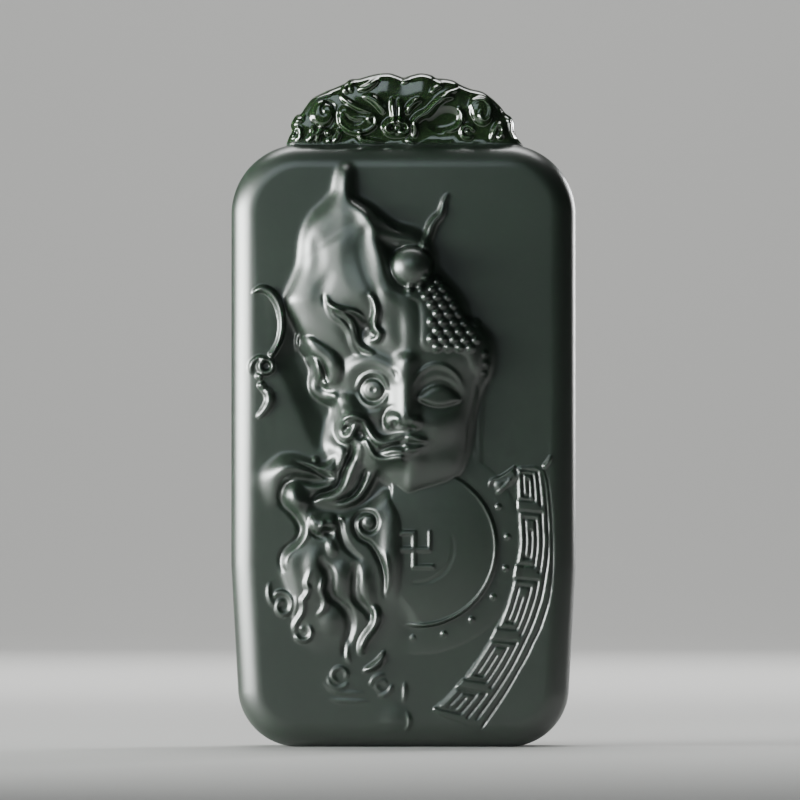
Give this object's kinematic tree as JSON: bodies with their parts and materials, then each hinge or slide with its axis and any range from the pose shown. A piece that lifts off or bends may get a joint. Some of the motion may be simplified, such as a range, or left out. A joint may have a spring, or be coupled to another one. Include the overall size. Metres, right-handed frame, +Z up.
{
  "type": "jade buddha pendant",
  "caption": "Upright rounded jade plaque carved with a split guardian and calm head, ritual drum and fret band, under a beast-mask cap drilled across for a cord.",
  "frame": {"origin": "centre of the whole part's box, on the flat foot that it stands on", "axes": "+Z up the plaque towards the cap, -Y out of the carved front, +Y out of the flat back, +X to the right seen from the front"},
  "size_m": [0.0326, 0.0136, 0.064],
  "materials": {
    "jade": "satin polish, dark grey-green and slightly translucent"
  },
  "bodies": {
    "root": {"pendant": "jade"}
  },
  "joints": []
}
